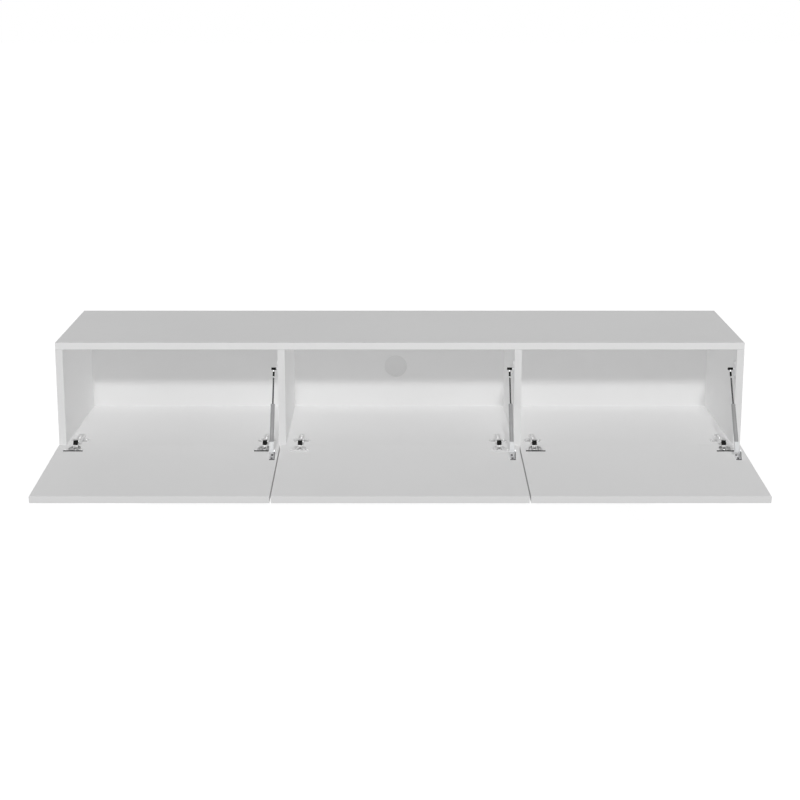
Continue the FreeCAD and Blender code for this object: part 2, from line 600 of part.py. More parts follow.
def hanger_housing(x):
    """Moulded housing in a rear corner, slotted from behind for the hook's shank."""
    body = block(x - HOUSING_WIDTH / 2, x + HOUSING_WIDTH / 2, BACK_FACE - HOUSING_DEPTH, BACK_FACE,
                 HOUSING_TOP - HOUSING_HEIGHT, HOUSING_TOP)
    half = HOOK_SHEET / 2 + HOUSING_SLOT_PLAY
    slot = block(x - half, x + half, -HOOK_REACH, BACK_FACE,
                 HOOK_TOP - HOOK_SHANK - HOUSING_SLOT_PLAY, HOOK_TOP)
    return clipped(body, UP, HOUSING_CHAMFER).cut(slot)


# The whole console

def carcass_nodes():
    hinges = [x for bay in BAYS for x in bay[5]]
    return {
        "top_board": [top_board()],
        "bottom_board": [bottom_board()],
        "left_side_board": [side_board(-1)],
        "right_side_board": [side_board(1)],
        "left_divider": [divider_board(-1)],
        "right_divider": [divider_board(1)],
        "back_panel": [back_board()],
        "cable_port_ring": [port_ring()],
        "cable_port_lid": [port_lid()],
        "hinge_plates": [hinge_plate(x) for x in hinges],
        "hinge_arms": [hinge_arm(x) for x in hinges],
        "strut_wall_brackets": [strut_wall_bracket(bay[2]) for bay in BAYS],
        "wall_rail": [wall_rail()],
        "hanger_hooks": [hook(x) for x in HANGERS],
        "hanger_housings": [hanger_housing(x) for x in HANGERS],
    }


def door_nodes(name, wall, x0, x1, hinges):
    """The door of one bay with all that moves with it, from the bay's right wall and its sizes."""
    strut_x = wall - STRUT_FROM_WALL
    return {
        "door_" + name: [door_panel(x0, x1, hinges)],
        "hinge_cups_" + name: [hinge_cup(x) for x in hinges],
        "outer_links_" + name: [outer_link(x) for x in hinges],
        "link_caps_" + name: [link_cap(x) for x in hinges],
        "inner_links_" + name: [inner_link(x) for x in hinges],
        "strut_door_bracket_" + name: [strut_door_bracket(wall)],
        "strut_fitting_" + name: [strut_fitting(strut_x)],
        "strut_tube_" + name: [strut_tube(strut_x)],
        "strut_rod_" + name: [strut_rod(strut_x)],
        "strut_socket_" + name: [strut_socket(strut_x)],
    }


def write_nodes(nodes):
    """One STEP file for each node, with the origin on the rail's screw line."""
    os.makedirs("parts", exist_ok=True)
    for name, solids in nodes.items():
        shape = solids[0] if len(solids) == 1 else Part.makeCompound(solids)
        shape.translated(UP * -RAIL_SCREW_RISE).exportStep("parts/" + name + ".step")


def main():
    nodes = carcass_nodes()
    for name, _, right_wall, x0, x1, hinges in BAYS:
        nodes.update(door_nodes(name, right_wall, x0, x1, hinges))
    write_nodes(nodes)


main()
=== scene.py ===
# %% [markdown]
# # A floating media console
# A white cabinet that hangs on a wall: three bays, three drop-down doors on concealed hinges, a
# slim strut beside each door and a round cable port in the back. Its boards, hinges and struts
# come from the engineering model. This lesson lights them, gives every part its finish, and adds
# the small metal and moulded pieces that the engineering model leaves out.

# %% Load the engineering model
import math

import bmesh
import bpy
from mathutils import Matrix, Vector


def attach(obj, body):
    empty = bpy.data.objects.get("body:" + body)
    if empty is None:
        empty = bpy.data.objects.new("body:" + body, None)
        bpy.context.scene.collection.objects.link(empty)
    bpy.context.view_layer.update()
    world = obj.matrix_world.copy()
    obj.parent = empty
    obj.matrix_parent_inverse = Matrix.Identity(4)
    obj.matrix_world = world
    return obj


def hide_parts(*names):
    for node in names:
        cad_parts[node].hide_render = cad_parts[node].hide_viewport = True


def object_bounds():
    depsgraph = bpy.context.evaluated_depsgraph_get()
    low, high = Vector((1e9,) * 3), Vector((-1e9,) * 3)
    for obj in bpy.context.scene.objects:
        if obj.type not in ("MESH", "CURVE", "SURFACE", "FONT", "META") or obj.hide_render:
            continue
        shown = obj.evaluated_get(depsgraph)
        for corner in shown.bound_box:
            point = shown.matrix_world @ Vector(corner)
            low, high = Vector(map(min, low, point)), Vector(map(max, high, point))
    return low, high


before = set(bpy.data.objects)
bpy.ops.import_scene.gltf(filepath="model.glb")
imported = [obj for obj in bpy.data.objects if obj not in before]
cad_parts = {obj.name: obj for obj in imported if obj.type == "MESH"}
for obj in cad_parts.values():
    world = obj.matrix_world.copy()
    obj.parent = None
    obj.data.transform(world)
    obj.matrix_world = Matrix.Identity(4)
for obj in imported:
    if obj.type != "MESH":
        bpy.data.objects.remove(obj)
cad_low, cad_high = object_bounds()
bpy.context.scene.view_settings.view_transform = "Standard"
print("size in mm:", [round(1000 * side) for side in cad_high - cad_low])

# %% [markdown]
# ## The camera
# The cabinet is seen from the front and a little above, from about the distance at which its side
# edges still look upright. A camera that is tilted down makes upright edges lean together.
# Pointing it less steeply and sliding the view down with the lens shift keeps them upright. A large
# shift would push the cabinet out of the frame in other views, so the tilt does some of the work.

# %% Camera
CAMERA_PLACE = (-0.01586, -3.6225, 1.01456)
CAMERA_TILT = 9.90            # degrees down from level
LENS = 58.81                  # millimetres, on a sensor 36 wide
LENS_SHIFT = (0.0079, -0.25)

camera = bpy.data.objects.new("camera", bpy.data.cameras.new("camera"))
bpy.context.scene.collection.objects.link(camera)
bpy.context.scene.camera = camera
camera.location = CAMERA_PLACE
camera.rotation_euler = (math.radians(90 - CAMERA_TILT), 0, 0)
camera.data.sensor_width = 36
camera.data.lens = LENS
camera.data.shift_x, camera.data.shift_y = LENS_SHIFT
print("camera is", round(-camera.location.y, 2), "m in front of the wall")

# %% [markdown]
# ## Light
# A white object on white needs soft light from everywhere and one direction that is a little
# stronger, or its boards melt together. The weak world is the soft light. The direction is a sun
# in front of the cabinet and above it: it reaches the lower half of the back panel and leaves the
# upper half in the shadow of the top board. A wide sun disc makes that shadow's edge soft. The
# camera and mirror-like metal see the world as white, through the Light Path node, while the
# boards get only its weaker light, so the white paint keeps its shading.

# %% World
SOFT_LIGHT = 0.255

world = bpy.data.worlds.new("white_studio")
bpy.context.scene.world = world
world.use_nodes = True
nodes, links = world.node_tree.nodes, world.node_tree.links
nodes.clear()
soft_light = nodes.new("ShaderNodeBackground")
seen_white = nodes.new("ShaderNodeBackground")
for light, strength in ((soft_light, SOFT_LIGHT), (seen_white, 1.0)):
    light.inputs["Color"].default_value = (1, 1, 1, 1)
    light.inputs["Strength"].default_value = strength
ray = nodes.new("ShaderNodeLightPath")
camera_or_gloss = nodes.new("ShaderNodeMath")
camera_or_gloss.operation = "MAXIMUM"
or_glass = nodes.new("ShaderNodeMath")
or_glass.operation = "MAXIMUM"
choose = nodes.new("ShaderNodeMixShader")
out = nodes.new("ShaderNodeOutputWorld")
links.new(ray.outputs["Is Camera Ray"], camera_or_gloss.inputs[0])
links.new(ray.outputs["Is Glossy Ray"], camera_or_gloss.inputs[1])
links.new(camera_or_gloss.outputs[0], or_glass.inputs[0])
links.new(ray.outputs["Is Transmission Ray"], or_glass.inputs[1])
links.new(or_glass.outputs[0], choose.inputs[0])
links.new(soft_light.outputs[0], choose.inputs[1])
links.new(seen_white.outputs[0], choose.inputs[2])
links.new(choose.outputs[0], out.inputs["Surface"])
print("world strength:", SOFT_LIGHT)

# %% Sun
SUN_ELEVATION = 31            # degrees
SUN_STRENGTH = 0.98
DISC = 4                      # degrees across, for the sun and the fill lamps
SHADED_DEPTH = 0.32           # metres from the top board's front edge to the back panel


def lamp_from(name, azimuth, elevation, strength, shadow):
    """A sun that shines from a direction, with azimuth 0 in front of the cabinet, in degrees."""
    lamp = bpy.data.objects.new(name, bpy.data.lights.new(name, "SUN"))
    bpy.context.scene.collection.objects.link(lamp)
    lamp.rotation_mode = "XYZ"
    lamp.rotation_euler = (math.radians(90 - elevation), 0, math.radians(azimuth))
    lamp.data.energy = strength
    lamp.data.angle = math.radians(DISC)
    lamp.data.use_shadow = shadow
    return lamp


lamp_from("front_sun", 0, SUN_ELEVATION, SUN_STRENGTH, True)
shade_drop = SHADED_DEPTH * math.tan(math.radians(SUN_ELEVATION))
print("the top board shades", round(1000 * shade_drop), "mm of the back panel")

# %% [markdown]
# ### Fill light for the bays
# A bay is a deep box, and the world alone leaves it much darker than the boards outside. A studio
# would put white cards round it. Here weak suns that cast no shadow do that work, one from above
# and one from each side: each lights all boards that face it alike, inside and out. A fourth,
# level and from behind, does the same for the wall side of the cabinet. A card has no hot spot, so
# these suns are kept out of reflections.

# %% Fill
FILL = (                      # name, azimuth, elevation, strength
    ("fill_above", 0, 85, 0.67),
    ("fill_left", -70, 5, 0.60),
    ("fill_right", 70, 5, 0.64),
    ("fill_behind", 180, 0, 0.90),
)
for card in FILL:
    lamp_from(*card, False).visible_glossy = False

# %% [markdown]
# ## The floor
# The cabinet hangs well above the floor, so only a faint shadow of it shows there. The floor mixes
# a glow that makes it as white as the world with a plain surface that takes the shadow. From below
# it is see-through, so that the underside of the cabinet can be looked at.

# %% Floor
FLOOR_DROP = 0.55
FLOOR_SIZE = 60
FLOOR_GLOW = 0.74             # with the sun's own light it comes out white

bpy.ops.object.select_all(action="DESELECT")
bpy.ops.mesh.primitive_plane_add(size=FLOOR_SIZE, location=(0, 0, cad_low.z - FLOOR_DROP))
floor = bpy.context.object
floor.name = "studio_floor"
print("floor is", FLOOR_DROP, "m below the cabinet")

# %% The floor's material
studio_white = bpy.data.materials.new("studio_white")
studio_white.use_nodes = True
nodes, links = studio_white.node_tree.nodes, studio_white.node_tree.links
nodes.clear()
surface = nodes.new("ShaderNodeBsdfDiffuse")
surface.inputs["Color"].default_value = (0.5, 0.5, 0.5, 1)
glow = nodes.new("ShaderNodeEmission")
glow.inputs["Strength"].default_value = FLOOR_GLOW
both = nodes.new("ShaderNodeAddShader")
plain = nodes.new("ShaderNodeBsdfDiffuse")
plain.inputs["Color"].default_value = (0.8, 0.8, 0.8, 1)
ray = nodes.new("ShaderNodeLightPath")
as_seen = nodes.new("ShaderNodeMixShader")
clear = nodes.new("ShaderNodeBsdfTransparent")
side = nodes.new("ShaderNodeNewGeometry")
from_above = nodes.new("ShaderNodeMixShader")
out = nodes.new("ShaderNodeOutputMaterial")
links.new(surface.outputs[0], both.inputs[0])
links.new(glow.outputs[0], both.inputs[1])
links.new(ray.outputs["Is Camera Ray"], as_seen.inputs[0])
links.new(plain.outputs[0], as_seen.inputs[1])
links.new(both.outputs[0], as_seen.inputs[2])
links.new(side.outputs["Backfacing"], from_above.inputs[0])
links.new(as_seen.outputs[0], from_above.inputs[1])
links.new(clear.outputs[0], from_above.inputs[2])
links.new(from_above.outputs[0], out.inputs["Surface"])
floor.data.materials.append(studio_white)
print("floor glow:", FLOOR_GLOW)

# %% [markdown]
# ## Materials
# Every finish starts from one Principled shader, with its colour and metal set on the shader
# itself. What makes it look real is added with noise, which reads Object coordinates, in metres,
# so a scale of 1000 gives grains of about a millimetre.

# %% Start of a finish
def finish_nodes(name, metallic=0.0):
    """A material with one Principled shader, its node tree and its coordinates."""
    material = bpy.data.materials.new(name)
    material.use_nodes = True
    tree = material.node_tree
    shader = tree.nodes["Principled BSDF"]
    shader.inputs["Metallic"].default_value = metallic
    place = tree.nodes.new("ShaderNodeTexCoord")
    return material, tree, shader, place.outputs["Object"]


def noise(tree, place, scale, detail=2.0):
    """A cloudy pattern with patches of 1 / scale metres."""
    texture = tree.nodes.new("ShaderNodeTexNoise")
    texture.inputs["Scale"].default_value = scale
    texture.inputs["Detail"].default_value = detail
    tree.links.new(place, texture.inputs["Vector"])
    return texture.outputs["Fac"]

# %% [markdown]
# ### What noise can drive
# One pattern can drive three things: a slow drift of the tone, a drift of the roughness, which
# breaks up reflections, and a fine bump. A real surface has a little of each.

# %% Tone, gloss and bump
def tone(tree, shader, pattern, dark, light):
    """Let the colour drift between two near tones."""
    ramp = tree.nodes.new("ShaderNodeValToRGB")
    ramp.color_ramp.elements[0].position = 0.3
    ramp.color_ramp.elements[1].position = 0.7
    ramp.color_ramp.elements[0].color = (*dark, 1)
    ramp.color_ramp.elements[1].color = (*light, 1)
    tree.links.new(pattern, ramp.inputs["Fac"])
    tree.links.new(ramp.outputs["Color"], shader.inputs["Base Color"])


def gloss(tree, shader, pattern, smooth, rough):
    """Let the roughness drift between two values."""
    spread = tree.nodes.new("ShaderNodeMapRange")
    spread.inputs["From Min"].default_value = 0.3
    spread.inputs["From Max"].default_value = 0.7
    spread.inputs["To Min"].default_value = smooth
    spread.inputs["To Max"].default_value = rough
    tree.links.new(pattern, spread.inputs["Value"])
    tree.links.new(spread.outputs["Result"], shader.inputs["Roughness"])


def bump(tree, shader, pattern, height):
    """Raise the surface by a height in metres where the pattern is light."""
    relief = tree.nodes.new("ShaderNodeBump")
    relief.inputs["Strength"].default_value = 1.0
    relief.inputs["Distance"].default_value = height
    tree.links.new(pattern, relief.inputs["Height"])
    tree.links.new(relief.outputs["Normal"], shader.inputs["Normal"])

# %% [markdown]
# ### White board
# The boards and doors are fibreboard under a matt white foil. It has almost no pattern: a very
# slow drift of tone, and the fine dull grain that keeps reflections soft. The top board gets the
# same foil in a copy a shade greyer, which paints shade into the top board.

# %% White board
def white_foil(name, dark, light):
    """Matt foil on fibreboard, between two near greys."""
    foil, tree, shader, place = finish_nodes(name)
    shader.inputs["Specular IOR Level"].default_value = 0.25
    tone(tree, shader, noise(tree, place, 2.5), (dark,) * 3, (light,) * 3)
    gloss(tree, shader, noise(tree, place, 45), 0.54, 0.62)
    bump(tree, shader, noise(tree, place, 1600, 3), 0.000012)
    return foil


white_back = white_foil("white_back", 0.79, 0.81)
white_board = white_foil("white_board", 0.79, 0.81)
white_door = white_foil("white_door", 0.79, 0.81)
# Painted shade: the same foil, a shade greyer, so that the top board reads darker.
white_top_shaded = white_foil("white_top_shaded", 0.735, 0.755)
print("foils: 4")

# %% [markdown]
# ### Faces that look one way
# Faces that look to the front, towards the sun, get a tone of their own, which is painted light or
# shade: a painted highlight on the boards and doors, a painted shade on the hinge plates and door
# brackets. The direction that a face looks in is all that sets it. A mask is 1 where the normal
# lies along an axis, and it mixes another tone into the finish.

# %% A mask by direction
ALONG = 0.9                   # how nearly a face has to look along the axis


def looking_along(tree, axis, operation, factor=1.0):
    """A mask for the faces whose normal lies along an axis: one side of it, or both (ABSOLUTE)."""
    normal = tree.nodes.new("ShaderNodeSeparateXYZ")
    share = tree.nodes.new("ShaderNodeMath")
    share.operation = operation
    share.inputs[1].default_value = factor
    mask = tree.nodes.new("ShaderNodeMath")
    mask.operation = "GREATER_THAN"
    mask.inputs[1].default_value = ALONG
    tree.links.new(tree.nodes["Texture Coordinate"].outputs["Normal"], normal.inputs[0])
    tree.links.new(normal.outputs[axis], share.inputs[0])
    tree.links.new(share.outputs[0], mask.inputs[0])
    return mask.outputs[0]


print("a face counts within", round(math.degrees(math.acos(ALONG))), "degrees of the axis")

# %% A tone for the front edges
def mix_into(finish, blend):
    """A mix node between a finish's colour and its shader. Its second colour is free."""
    tree = finish.node_tree
    colour = tree.nodes["Principled BSDF"].inputs["Base Color"]
    mix = tree.nodes.new("ShaderNodeMixRGB")
    mix.blend_type = blend
    mix.inputs["Fac"].default_value = 1
    tree.links.new(colour.links[0].from_socket, mix.inputs["Color1"])
    tree.links.new(mix.outputs[0], colour)
    return tree, mix


def paint_front_shading(finish, grey):
    """Paint light or shade into the faces that look to the front, as a tone of their own."""
    tree, mix = mix_into(finish, "MIX")
    mix.inputs["Color2"].default_value = (grey, grey, grey, 1)
    tree.links.new(looking_along(tree, "Y", "MULTIPLY", -1.0), mix.inputs["Fac"])


# Painted highlight: the faces that look to the front, towards the sun, are whiter than the foil.
for foil, painted_highlight in ((white_board, 0.83), (white_top_shaded, 0.87), (white_door, 0.815)):
    paint_front_shading(foil, painted_highlight)
print("edging tones: 3")

# %% [markdown]
# ### Hollows
# The slot between two doors is so narrow that hardly any light gets out of it. An Ambient
# Occlusion node darkens the ends of the doors where another door stands close. It needs a mask as
# well, or the large faces would darken along the walls. The hinge cups get a weaker shade of the
# same kind.

# %% A shade for hollows
def dark_hollows(finish, reach, kept):
    """Darken a finish where something else stands within reach, in metres."""
    tree, mix = mix_into(finish, "MULTIPLY")
    open_air = tree.nodes.new("ShaderNodeAmbientOcclusion")
    open_air.inputs["Distance"].default_value = reach
    shade = tree.nodes.new("ShaderNodeMapRange")
    shade.inputs["To Min"].default_value = kept
    tree.links.new(open_air.outputs["AO"], shade.inputs["Value"])
    tree.links.new(shade.outputs[0], mix.inputs["Color2"])
    return tree, mix


tree, door_ends = dark_hollows(white_door, 0.008, 0.5)
tree.links.new(looking_along(tree, "X", "ABSOLUTE"), door_ends.inputs["Fac"])
print("shaded foil:", white_door.name)

# %% [markdown]
# ### White plastic
# The ring and lid of the cable port and the housings of the hangers are moulded. Such plastic is a
# little darker than the foil and glossier, so that its rounded lips catch a soft line of light.

# %% White plastic
white_plastic, tree, shader, place = finish_nodes("white_plastic")
tone(tree, shader, noise(tree, place, 18), (0.72, 0.72, 0.72), (0.74, 0.74, 0.74))
gloss(tree, shader, noise(tree, place, 240), 0.34, 0.42)
bump(tree, shader, noise(tree, place, 2600, 3), 0.000010)
print("nodes of the white plastic:", len(tree.nodes))

# %% [markdown]
# ### Nickel plate
# The hinges are pressed from steel and nickel plated, satin, with faint streaks from the rolling
# mill. An image of streaks would need a map on every piece. Noise needs none: its coordinates are
# drawn out along one axis. The front faces of the hinge plates get a painted shade, and the cups of
# the middle door get a paler, less metallic copy of the plate, which is painted light.

# %% Nickel plated hinge steel
def stretched(tree, place, scale):
    """Coordinates that are drawn out along one axis, for brushed and drawn metal."""
    mapping = tree.nodes.new("ShaderNodeMapping")
    mapping.inputs["Scale"].default_value = scale
    tree.links.new(place, mapping.inputs["Vector"])
    return mapping.outputs["Vector"]


def nickel_plate(name, metal=1.0, dark=0.88, light=0.93):
    """Satin plate with streaks from the rolling mill."""
    nickel, tree, shader, place = finish_nodes(name, metal)
    streaks = noise(tree, stretched(tree, place, (1, 0.08, 1)), 2200, 2)
    tone(tree, shader, noise(tree, place, 160), (dark,) * 3, (light,) * 3)
    gloss(tree, shader, streaks, 0.40, 0.52)
    bump(tree, shader, streaks, 0.0000015)
    return nickel


hinge_steel = nickel_plate("hinge_steel")
plate_shaded_front = nickel_plate("plate_shaded_front")
# Painted shade: the faces of the hinge plates that look to the front are darkened to 0.4.
paint_front_shading(plate_shaded_front, 0.4)
cup_steel = nickel_plate("cup_steel")
dark_hollows(cup_steel, 0.012, 0.65)
# Painted light: the middle door's cups get a paler, less metallic copy, as bright as the door.
cup_painted_light = nickel_plate("cup_painted_light", 0.35, 0.79, 0.83)
print("hinge finishes: 4")

# %% [markdown]
# ### Dull steel, and painted light and shadow on the lips
# The links of the hinges have been tumbled, which leaves an even dull grain and no streaks. The
# lips of the middle door's cups get the same grain in a light grey, which is a painted highlight.
# The lips of the other cups are near black, which is painted shadow, and there one pattern drives
# tone, gloss and a deeper bump together.

# %% Tumbled steel
def tumbled_steel(name, dark, light):
    """Dull steel with an even fine grain, as tumbling leaves it."""
    steel, tree, shader, place = finish_nodes(name, 1.0)
    tone(tree, shader, noise(tree, place, 220), (dark,) * 3, (light,) * 3)
    gloss(tree, shader, noise(tree, place, 1500, 3), 0.42, 0.56)
    bump(tree, shader, noise(tree, place, 1500, 3), 0.000002)
    return steel


link_steel = tumbled_steel("link_steel", 0.40, 0.48)
# Painted highlight: the lips of the middle door's cups get this light grey.
lip_painted_light = tumbled_steel("lip_painted_light", 0.66, 0.72)
print("tumbled finishes: 2")

# %% Painted shadow on the lips
# Painted shadow: the lips of the cups on the left and right doors are near black.
lip_painted_shadow, tree, shader, place = finish_nodes("lip_painted_shadow", 1.0)
shadow_grain = noise(tree, stretched(tree, place, (1, 1, 0.3)), 1800, 2)
tone(tree, shader, shadow_grain, (0.008, 0.008, 0.008), (0.020, 0.020, 0.020))
gloss(tree, shader, shadow_grain, 0.50, 0.70)
bump(tree, shader, shadow_grain, 0.000008)
print("nodes of the sheared steel:", len(tree.nodes))

# %% [markdown]
# ### Zinc plate
# The brackets, the wall rail and the hooks of its hangers are zinc plated: duller, with patches of
# small crystals. A Voronoi pattern has just such cells. The faces of the brackets on the doors that
# look to the front get a painted shade, almost black.

# %% Zinc plate
def zinc_plate(name):
    """Zinc plate with small crystals."""
    plate, tree, shader, place = finish_nodes(name, 1.0)
    crystals = tree.nodes.new("ShaderNodeTexVoronoi")
    crystals.inputs["Scale"].default_value = 260
    tree.links.new(place, crystals.inputs["Vector"])
    tone(tree, shader, crystals.outputs["Color"], (0.83, 0.83, 0.84), (0.87, 0.87, 0.88))
    gloss(tree, shader, crystals.outputs["Color"], 0.46, 0.51)
    bump(tree, shader, noise(tree, place, 1800, 3), 0.000003)
    return plate


zinc = zinc_plate("zinc")
zinc_shaded_front = zinc_plate("zinc_shaded_front")
# Painted shade: the faces of the door brackets that look to the front are near black.
paint_front_shading(zinc_shaded_front, 0.04)
print("zinc finishes: 2")

# %% [markdown]
# ### Paint and ground steel
# The tube of each strut is painted grey, with the faint orange peel of a spray gun. The rod that
# slides in it is hardened, dark and ground very fine, so it has next to no bump.

# %% Tube paint and rod steel
tube_paint, tree, shader, place = finish_nodes("tube_paint")
tone(tree, shader, noise(tree, place, 60), (0.31, 0.31, 0.315), (0.34, 0.34, 0.345))
gloss(tree, shader, noise(tree, place, 300), 0.36, 0.46)
bump(tree, shader, noise(tree, place, 1400, 2), 0.000010)

rod_steel, tree, shader, place = finish_nodes("rod_steel", 1.0)
grinding = noise(tree, place, 5200, 2)
tone(tree, shader, noise(tree, place, 35), (0.045, 0.045, 0.048), (0.070, 0.070, 0.074))
gloss(tree, shader, grinding, 0.24, 0.34)
bump(tree, shader, grinding, 0.0000006)
print("strut finishes: 2")

# %% [markdown]
# ### Moulded plastics
# The cap on the front of each hinge's outer link and the upper end of each strut are black. The
# lower end of each strut is a pale frosted grey. Mould makers etch such parts, which leaves a fine
# even grain.

# %% Black and grey plastic
black_plastic, tree, shader, place = finish_nodes("black_plastic")
shader.inputs["Specular IOR Level"].default_value = 0.12
tone(tree, shader, noise(tree, place, 90), (0.003, 0.003, 0.003), (0.006, 0.006, 0.006))
gloss(tree, shader, noise(tree, place, 400), 0.50, 0.62)
bump(tree, shader, noise(tree, place, 3200, 2), 0.000012)

grey_plastic, tree, shader, place = finish_nodes("grey_plastic")
tone(tree, shader, noise(tree, place, 70), (0.66, 0.67, 0.68), (0.70, 0.71, 0.72))
gloss(tree, shader, noise(tree, place, 400), 0.38, 0.50)
bump(tree, shader, noise(tree, place, 3200, 2), 0.000010)
print("moulded finishes: 2")

# %% [markdown]
# ## Finishes for the engineering model's parts
# The names of the parts say what they are made of, so one table gives each its finish. A part
# keeps its mesh and only gets another material in its slots.

# %% Dress the parts
FINISH_OF = (
    (white_top_shaded, ("top_board",)),
    (white_board, ("bottom_board", "left_side_board", "right_side_board", "left_divider",
                   "right_divider")),
    (white_door, ("door_",)),
    (white_back, ("back_panel",)),
    (white_plastic, ("cable_port_", "hanger_housings")),
    (cup_steel, ("hinge_cups_left", "hinge_cups_right")),
    (cup_painted_light, ("hinge_cups_middle",)),
    (plate_shaded_front, ("hinge_plates",)),
    (hinge_steel, ("hinge_arms",)),
    (link_steel, ("inner_links_", "outer_links_")),
    (zinc, ("strut_wall_brackets", "wall_rail", "hanger_hooks")),
    (zinc_shaded_front, ("strut_door_bracket_",)),
    (black_plastic, ("link_caps_", "strut_socket_")),
    (grey_plastic, ("strut_fitting_",)),
    (tube_paint, ("strut_tube_",)),
    (rod_steel, ("strut_rod_",)),
)
dressed = 0
for finish, starts in FINISH_OF:
    for name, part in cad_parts.items():
        if name.startswith(starts):
            for slot in part.material_slots:
                slot.material = finish
            dressed += 1
print("dressed parts:", dressed)

# %% [markdown]
# ## Places on the cabinet
# The new pieces sit on parts of the engineering model, so their places are worked out in its own
# terms, in millimetres: the middles of the hinges, the walls that carry the struts, and the turn
# that carries a point of a closed door to the open door. Each new piece is modelled standing on the
# origin, and a matrix then puts it in its place.

# %% Places
MM = 0.001
BAYS = {"left": -319.5, "middle": 300.5, "right": 881.0}          # wall that carries the strut
HINGES = {"left": (-852.5, -354.5), "middle": (-262.0, 262.0), "right": (354.5, 852.5)}
HANGERS = {"outer_left": -872.0, "inner_left": -328.5, "inner_right": 328.5, "outer_right": 872.0}
SIDES = (("l", -1), ("r", 1))

DOOR_AXIS = Vector((0, -345, -228)) * MM
OPEN_ANGLE = math.radians(94)
DOOR_OPEN = (Matrix.Translation(DOOR_AXIS) @ Matrix.Rotation(OPEN_ANGLE, 4, "X")
             @ Matrix.Translation(-DOOR_AXIS))
LOWER_PIVOT = Vector((0, -414.927, -202.817)) * MM
UPPER_PIVOT = Vector((0, -313.0, -13.5)) * MM
STRUT_FROM_WALL = 11.5
strut_length = (UPPER_PIVOT - LOWER_PIVOT).length
print("strut, eye to eye:", round(strut_length / MM, 1), "mm")

# %% Matrices that place a piece
def facing(point, outward, turn=0.0):
    """Matrix that puts a piece, modelled standing on the origin, on a point, its top outward."""
    spin = Matrix.Rotation(turn, 4, "Z")
    aim = Vector(outward).to_track_quat("Z", "Y").to_matrix().to_4x4()
    return Matrix.Translation(Vector(point) * MM) @ aim @ spin


def along_strut(bay, rise=0.0):
    """Matrix that puts an upright piece on the line of a bay's strut, above its lower pivot."""
    aim = (UPPER_PIVOT - LOWER_PIVOT).normalized()
    across = aim.cross(Vector((1, 0, 0)))
    turn = Matrix((Vector((1, 0, 0)), across, aim)).transposed().to_4x4()
    start = LOWER_PIVOT + Vector(((BAYS[bay] - STRUT_FROM_WALL) * MM, 0, 0)) + aim * rise * MM
    return Matrix.Translation(start) @ turn


def each_hinge():
    """The bay, letter and middle of every hinge."""
    for bay in BAYS:
        for letter, x in zip("ab", HINGES[bay]):
            yield bay, letter, x


print("hinges:", len(list(each_hinge())))

# %% [markdown]
# ## Shaping a primitive
# A piece starts as a primitive of the right size, and is then shaped in edit mode. The operators
# work on what is selected, so one helper opens a new primitive with nothing selected, and two more
# pick faces or edges by their place, as a click would do by hand.

# %% Open, pick and close
def open_primitive(name):
    """Name the primitive that was just added, and open it with nothing selected."""
    piece = bpy.context.object
    piece.name = piece.data.name = name
    bpy.ops.object.mode_set(mode="EDIT")
    bpy.ops.mesh.select_all(action="DESELECT")
    return piece


def pick_faces(piece, wanted):
    """Select the faces for which wanted(middle, normal) is true, with places in millimetres."""
    bpy.ops.mesh.select_all(action="DESELECT")
    bpy.ops.mesh.select_mode(type="FACE")
    mesh = bmesh.from_edit_mesh(piece.data)
    for face in mesh.faces:
        face.select_set(bool(wanted(face.calc_center_median() / MM, face.normal)))
    bmesh.update_edit_mesh(piece.data)


def pick_edges(piece, wanted):
    """Select the edges for which wanted(one end, other end) is true, in millimetres."""
    bpy.ops.mesh.select_all(action="DESELECT")
    bpy.ops.mesh.select_mode(type="EDGE")
    mesh = bmesh.from_edit_mesh(piece.data)
    for edge in mesh.edges:
        edge.select_set(bool(wanted(*(corner.co / MM for corner in edge.verts))))
    bmesh.update_edit_mesh(piece.data)


def close_piece(piece, angle=35):
    """Leave edit mode and smooth what is nearly flat."""
    bpy.ops.object.mode_set(mode="OBJECT")
    bpy.ops.object.shade_smooth_by_angle(angle=math.radians(angle))
    return piece

# %% [markdown]
# ## Screws
# The hinges and brackets are held by small pan-head screws with a cross recess. The head is a
# cylinder whose upper rim is beveled round. The recess could be drawn on with a dark image, but
# cut in with a Boolean it catches the light. The cutter is a cube whose four sides are each
# extruded outwards, which makes a cross, and whose lower face is scaled down, as the recess is
# tapered.

# %% A cross for the recess
SCREW_RADIUS = 3.4
SCREW_HEIGHT = 1.5

bpy.ops.object.select_all(action="DESELECT")
bpy.ops.mesh.primitive_cube_add(size=0.9 * MM)
cross = open_primitive("recess_cross")
pick_faces(cross, lambda middle, normal: abs(normal.z) < 0.5)
bpy.ops.mesh.extrude_faces_move(TRANSFORM_OT_shrink_fatten={"value": 1.3 * MM})
bpy.ops.mesh.select_all(action="SELECT")
bpy.ops.transform.resize(value=(1, 1, 2.4))
pick_faces(cross, lambda middle, normal: normal.z < -0.5)
bpy.ops.transform.resize(value=(0.45, 0.45, 1))
bpy.ops.mesh.select_all(action="SELECT")
bpy.ops.transform.translate(value=(0, 0, (SCREW_HEIGHT + 0.1) * MM))
close_piece(cross)
print("recess faces:", len(cross.data.polygons))

# %% The screw head
def put_away(model):
    """Delete a model once its copies are made."""
    bpy.data.objects.remove(model)


